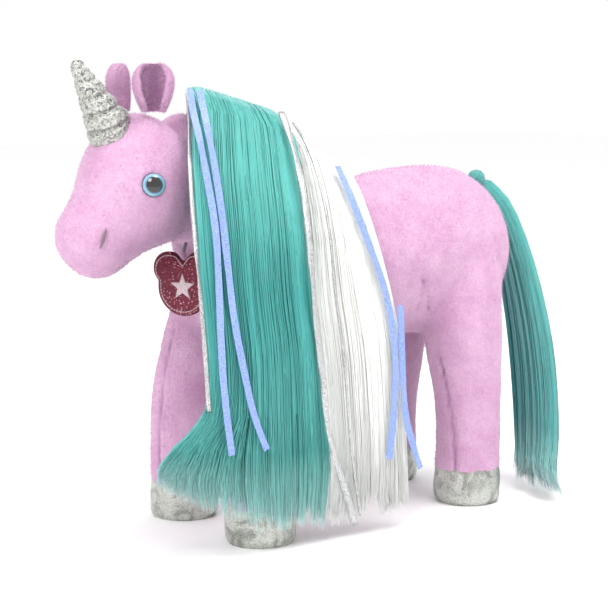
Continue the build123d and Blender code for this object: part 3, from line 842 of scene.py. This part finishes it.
# hair: combed sheets of locks, each given by its front end, rear end and thickness from root to tip
tealMane = [((5, -124, 309), (5, -50, 289), 8), ((31, -137, 297), (31, -56, 276), 10),
            ((49, -150, 264), (50, -63, 246), 10),
            ((62, -156, 222), (66, -69, 212), 11), ((70, -158, 180), (72, -71, 172), 12),
        ((78, -159, 140), (79, -70, 135), 12),
            ((80, -160, 100), (80, -67, 96), 11), ((80, -163, 60), (79, -62, 54), 11),
        ((77, -150, 12), (78, -66, 8), 10)]
whiteMane = [((5, -47, 281), (5, -10, 253), 8), ((29, -51, 268), (31, -12, 251), 9),
             ((49, -58, 244), (51, -14, 239), 10),
             ((66, -65, 210), (68, -13, 208), 11), ((73, -68, 172), (74, -4, 168), 11),
        ((80, -67, 134), (79, 1, 130), 11),
             ((81, -64, 96), (80, 4, 92), 11), ((79, -59, 54), (80, 7, 50), 11),
        ((78, -62, 8), (79, 11, 8), 9)]
tailFall = [((-6, 154, 234), (6, 154, 234), 10), ((-8, 168, 214), (16, 168, 214), 14),
            ((-5, 179, 170), (29, 179, 170), 18),
            ((4, 182, 120), (46, 180, 118), 20), ((12, 180, 75), (60, 174, 72), 20),
        ((24, 172, 35), (76, 158, 32), 20),
            ((40, 160, 5), (92, 130, 5), 20)]


def smoothTable(values, count):
    # Catmull-Rom through the values
    values = np.array(values, float)
    padded = np.vstack([2 * values[0] - values[1], values, 2 * values[-1] - values[-2]])
    out = []
    for v in np.linspace(0, len(values) - 1 - 1e-9, count):
        i, t = int(v), v - int(v)
        a, b, c, d = padded[i:i + 4]
        out.append(0.5 * (2 * b + (c - a) * t + (2 * a - 5 * b + 4 * c - d) * t * t
                          + (3 * b - a - 3 * c + d) * t ** 3))
    return np.array(out)


def sheetTable(sections, count=81):
    front = smoothTable(rows([s[0] for s in sections]), count)
    rear = smoothTable(rows([s[1] for s in sections]), count)
    thick = smoothTable([[s[2] / 1000] for s in sections], count)[:, 0]
    fall = np.gradient((front + rear) / 2, axis=0)
    normal = np.cross(rear - front, fall)
    normal /= np.linalg.norm(normal, axis=1)[:, None]
    if normal[:, 0].mean() < 0:
        normal = -normal
    return front, rear, thick, normal


def readTable(table, v):
    # row of a table at each v from 0 to 1
    place = np.clip(v, 0, 1) * (len(table) - 1)
    low = np.minimum(place.astype(int), len(table) - 2)
    t = place - low
    if table.ndim == 2:
        t = t[..., None]
    return table[low] * (1 - t) + table[low + 1] * t


def strandTree(material):
    tree, given = newTree("strands", "Thickness")
    lines = addNode(tree, "GeometryNodeMeshToCurve", {"Mesh": given["Geometry"]})
    taper = addNode(tree, "GeometryNodeInputNamedAttribute", {"Name": "taper"}, data_type="FLOAT")
    radius = addNode(tree, "ShaderNodeMath", {0: taper.outputs[0], 1: given["Thickness"]},
                     operation="MULTIPLY")
    section = addNode(tree, "GeometryNodeCurvePrimitiveCircle", {"Resolution": 3, "Radius": 1.0})
    tubes = addNode(tree, "GeometryNodeCurveToMesh",
                    {"Curve": lines.outputs["Curve"], "Profile Curve": section.outputs["Curve"],
            "Fill Caps": True, "Scale": radius.outputs[0]})
    return closeTree(tree, tubes.outputs["Mesh"], material)


def strandSource(paths, falls, locks):
    # a mesh of loose lines, one for each strand
    count, steps = paths.shape[:2]
    mesh = bpy.data.meshes.new("strandLines")
    mesh.vertices.add(count * steps)
    mesh.vertices.foreach_set("co", paths.reshape(-1))
    mesh.edges.add(count * (steps - 1))
    first = (np.arange(count)[:, None] * steps + np.arange(steps - 1)[None]).ravel()
    mesh.edges.foreach_set("vertices", np.stack([first, first + 1], 1).ravel().astype(np.int32))
    step = np.linspace(0, 1, steps)
    taper = np.tile(np.where(step < 0.8, 1.0, 1 - 0.75 * (step - 0.8) / 0.2), count)
    for name, values in (("fall", falls.ravel()), ("lock", np.repeat(locks, steps)), ("taper", taper)):
        pointValues(mesh, name, values)
    return mesh


def combed(name, sections, settings, material, body, replaced, sweep=None):
    front, rear, thick, normal = sheetTable(sections)
    steps, locks = settings["steps"], settings["locks"]
    tree = strandTree(material)
    lockAlong = np.clip((np.arange(locks) + rng.uniform(-0.45, 0.45, locks) + 0.5) / locks, 0.01, 0.99)
    lockDeep = rng.uniform(-0.9, 0.95, locks)
    lockPhase, lockEnd, lockTone = rng.uniform(0, 6.28, locks), rng.uniform(0.93, 1.0,
            locks), rng.uniform(0, 1, locks)
    for part in range(settings["parts"]):
        count = settings["strands"]
        inPart = np.where((lockAlong >= part / settings["parts"])
                          & (lockAlong < (part + 1) / settings["parts"]))[0]
        mine = rng.choice(inPart, count)
        along = rng.normal(0, settings["spread"], count)
        deep = rng.normal(0, 0.3, count)
        v = np.linspace(0, 1, steps)[None] * (lockEnd[mine] - rng.uniform(0, 0.05, count))[:, None]
        clump = 1 - settings["clump"] * np.clip((v - 0.25) / 0.75, 0, 1) ** 1.3
        wander = settings["wave"] * v ** 1.5 * np.sin(v * 7 + lockPhase[mine][:,
                None]) + 0.004 * np.sin(v * 17 + along[:, None] * 90)
        u = lockAlong[mine][:, None] + along[:, None] * clump + wander
        u = np.clip(u, -0.01, 1.01)
        w = np.clip(lockDeep[mine][:, None] * (0.5 + 0.4 * clump) + deep[:, None] * clump, -1.0, 1.0)
        edge = np.sqrt(np.clip(1 - (2 * np.clip(u, 0, 1) - 1) ** 6, 0.05, 1))  # thinner along both edges
        f, r, t, n = readTable(front, v), readTable(rear, v), readTable(thick, v), readTable(normal, v)
        paths = f + (r - f) * u[..., None] + n * (w * t * 0.5 * edge)[..., None]
        if sweep is not None:
            paths = paths + sweep(u, v)
        paths[..., 2] = np.maximum(paths[..., 2], 0.0008 + 0.0015 * rng.random(count)[:, None])
        tone = np.clip(lockTone[mine] + rng.normal(0, 0.12, count), 0, 1)
        mesh = grown(strandSource(paths, v, tone), tree, {"Thickness": settings["thickness"]})
        finish(mesh, f"{name}_strands_{part + 1}", material, body, ())
    # a closed core keeps the hank full behind its outer strands
    rings = []
    for v in np.linspace(0.0, settings["core"], 40):
        f, r, t, n = (readTable(table, np.array([v]))[0] for table in (front, rear, thick, normal))
        ring = []
        for j in range(40):
            a = 2 * math.pi * j / 40
            u = 0.5 - 0.465 * math.cos(a)
            ring.append(f + (r - f) * u + n * t * 0.33 * np.sign(math.sin(a)) * abs(math.sin(a)) ** 0.5)
        rings.append(ring)
    mesh = ringMesh(name + "_core", rings)
    height = np.array([v.co.z for v in mesh.vertices])
    pointValues(mesh, "fall", np.clip(1 - height / height.max(), 0, 0.8))
    pointValues(mesh, "lock", np.full(len(height), 0.25))
    finish(mesh, name + "_core", material, body, replaced)


def frontSweep(u, v):
    # the foremost locks swing forward and in over the hoof
    t = np.clip((v - 0.75) / 0.25, 0, 1)[..., None]
    share = (np.clip(1 - u / 0.4, 0, 1) ** 1.2)[..., None]
    return share * (2 * t * (1 - t) * np.array((0.003, -0.049, 0.009)) + t * t * np.array((-0.057, -0.007,
            0.024)))


def tailSweep(u, v):
    # tips spread out over the floor
    t = np.clip((v - 0.86) / 0.14, 0, 1)[..., None]
    return t * t * np.stack([(u - 0.25) * 0.026, (u - 0.4) * 0.012, np.zeros_like(u)], -1)


combed("teal", tealMane,
       {"steps": 15, "locks": 74, "parts": 2, "strands": 2250, "spread": 0.034, "clump": 0.45,
        "wave": 0.008, "core": 0.76, "thickness": 0.00036},
       tealHair, "mane", ("mane_teal_hair",), frontSweep)
combed("white", whiteMane,
       {"steps": 15, "locks": 60, "parts": 2, "strands": 1900, "spread": 0.04, "clump": 0.4, "wave": 0.01,
        "core": 0.86, "thickness": 0.00034},
       whiteHair, "mane", ("mane_white_hair",))
combed("tail", tailFall,
       {"steps": 15, "locks": 46, "parts": 1, "strands": 2250, "spread": 0.03, "clump": 0.35, "wave": 0.012,
        "core": 0.84, "thickness": 0.00038},
       tailHairFinish, "tail", ("tail_hair",), tailSweep)
print("stage: hair")

# weft along the crest, and the wrapped tail knot
crest = splinePoints([at(0, y, z) for y,
                      z in ((-106, 297.5), (-90, 292), (-69, 281), (-46, 267), (-24, 253))], 12)
finish(swept("maneWeft", crest, 0.0034, 0.0026, np.array((0.3, 0, 1.0)), 0.25, 10), "maneWeft", weftFinish,
       "body", ("mane_weft",))
low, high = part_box("tail_binding")
knotMiddle, knotAxis = (low + high) / 2, Vector((0, 0.8, -0.6)).normalized()
knotProfile = [(0.0071 * math.sin(a) * (1 - 0.07 * abs(math.sin(a * 7))),
                -0.0071 * math.cos(a)) for a in np.linspace(0.12, math.pi - 0.12, 46)]
finish(turned("tailKnot", knotMiddle, knotAxis, knotProfile, 40), "tailKnot", weftFinish, "tail_root",
       ("tail_binding",))

# badge: glittered medallion with a stitched border and star, on a short loop
badge = {"middle": at(7.5, -131, 177), "x": Vector((0.87, 0.5, 0)).normalized(),
         "z": Vector((0.5, -0.87, 0)).normalized(), "round": 19.5, "roundDrop": 2.5, "lobe": 11.5,
         "lobeRise": 10.5, "notchDepth": 6.0, "notchWidth": 4.2}
badgeY = badge["z"].cross(badge["x"])


def badgePoint(x, y, z):
    return badge["middle"] + badge["x"] * x / 1000 + badgeY * y / 1000 + badge["z"] * z / 1000


def badgeEdge(inset, count=120):
    # radius by angle of the notched round outline, pulled in by inset
    points = []
    for i in range(count):
        a = 2 * math.pi * i / count + math.pi / 2
        c, s = math.cos(a), math.sin(a)
        r = badge["round"]
        for attempt in range(400):
            r += 0.02
            x, y = r * c, r * s
            lobes = [(x - across) ** 2 + (y - badge["lobeRise"]) ** 2 for across in (badge["lobe"], -badge["lobe"])]
            inRound = (x * x + (y + badge["roundDrop"]) ** 2 < badge["round"] ** 2
                       or min(lobes) < badge["lobe"] ** 2 or (abs(x) < badge["lobe"] and 0 < y < 22))
            if not inRound:
                break
        notch = math.exp(-(x / badge["notchWidth"]) ** 2) * badge["notchDepth"] if y > 10 else 0
        points.append(((r - inset) * c, (r - inset) * s - notch))
    return points


def badgeLayer(name, layers, material, node):
    rings = [[badgePoint(x, y, z) for x, y in badgeEdge(inset)] for inset, z in layers]
    finish(ringMesh(name, rings), name, material, "badge", (node,))


badgeLayer("badgeFelt", [(0.5, 0.0), (0.0, 0.4), (0.0, 1.0), (0.4, 1.35)], badgeFelt, "badge_back")
badgeLayer("badgeGlitter", [(0.6, 1.3), (0.5, 1.7), (0.7, 2.3), (1.4, 2.7), (6.0, 2.9), (18.0, 3.0)],
           badgeGlitter, "badge_face")


def stitchRow(name, path, length, thick, material, body, replaced):
    # stitches laid end to end along a path, by Geometry Nodes
    tree, given = newTree(name + "Tree", "Pitch")
    lines = addNode(tree, "GeometryNodeMeshToCurve", {"Mesh": given["Geometry"]})
    points = addNode(tree, "GeometryNodeCurveToPoints",
                     {"Curve": lines.outputs["Curve"], "Length": given["Pitch"]}, mode="LENGTH")
    stitch = addNode(tree, "GeometryNodeMeshUVSphere", {"Segments": 8, "Rings": 6, "Radius": 1.0})
    placed = addNode(tree, "GeometryNodeInstanceOnPoints",
                     {"Points": points.outputs["Points"], "Instance": stitch.outputs["Mesh"],
            "Rotation": points.outputs["Rotation"],
                             "Scale": (thick, thick, length * 0.46)})
    closeTree(tree, placed.outputs["Instances"], material)
    source = bpy.data.meshes.new(name)
    source.from_pydata([tuple(p) for p in path], [(i, (i + 1) % len(path)) for i in range(len(path))], [])
    finish(grown(source, tree, {"Pitch": length}), name, material, body, replaced)


stitchRow("badgeBorder", [badgePoint(x, y, 2.85) for x, y in badgeEdge(3.0)], 0.0022, 0.00045, badgeThread,
          "badge", ("badge_stitching",))
starPoints = []
for i in range(10):
    a, r = math.pi / 2 + i * math.pi / 5, 9.5 if i % 2 == 0 else 4.0
    starPoints.append((r * math.cos(a), r * math.sin(a) - 2))
rings = [[badgePoint(x * k, (y + 2) * k - 2, z) for x, y in starPoints] for k,
         z in ((1.0, 2.75), (1.0, 3.1), (0.9, 3.4), (0.12, 3.65))]
finish(ringMesh("badgeStar", rings), "badgeStar", badgeThread, "badge", ("badge_star",),
       smooth=False)
loopLine = splinePoints([at(3, -106, 216), at(5, -116, 217), at(7, -126, 212), at(8.3, -131, 203),
                         at(8.5, -132, 199)], 10)
finish(swept("badgeLoop", loopLine, 0.0011, 0.0011, np.array((1.0, 0, 0)), 0.4, 8), "badgeLoop", loopFinish,
       "body", ("badge_loop",))
print("stage: badge")

# floor and soft light
floorMaterial = newMaterial("paleFloor", **{"Base Color": (0.98, 0.98, 0.98, 1), "Roughness": 0.9,
        "Specular IOR Level": 0.1})[0]
floorMesh = bpy.data.meshes.new("floor")
floorMesh.from_pydata([(-6, -6, 0), (6, -6, 0), (6, 6, 0), (-6, 6, 0)], [], [(0, 1, 2, 3)])
floorMesh.materials.append(floorMaterial)
floor = bpy.data.objects.new("floor", floorMesh)
scene.collection.objects.link(floor)
world = bpy.data.worlds.new("studio")
scene.world = world
world.use_nodes = True
world.node_tree.nodes["Background"].inputs["Color"].default_value = (1, 1, 1, 1)
world.node_tree.nodes["Background"].inputs["Strength"].default_value = 1.0
target = at(0, 0, 150)
for name, place, power, size in (("key", (0.9, -1.5, 1.7), 20, 0.9), ("top", (0.5, 0.2, 2.0), 18, 0.9),
        ("rim", (-1.6, 1.2, 1.3), 5, 1.0)):
    lightData = bpy.data.lights.new(name, "AREA")
    lightData.energy, lightData.size = power, size
    light = bpy.data.objects.new(name, lightData)
    scene.collection.objects.link(light)
    light.location = place
    light.rotation_euler = (target - Vector(place)).to_track_quat("-Z", "Y").to_euler()

print("stage: finished")
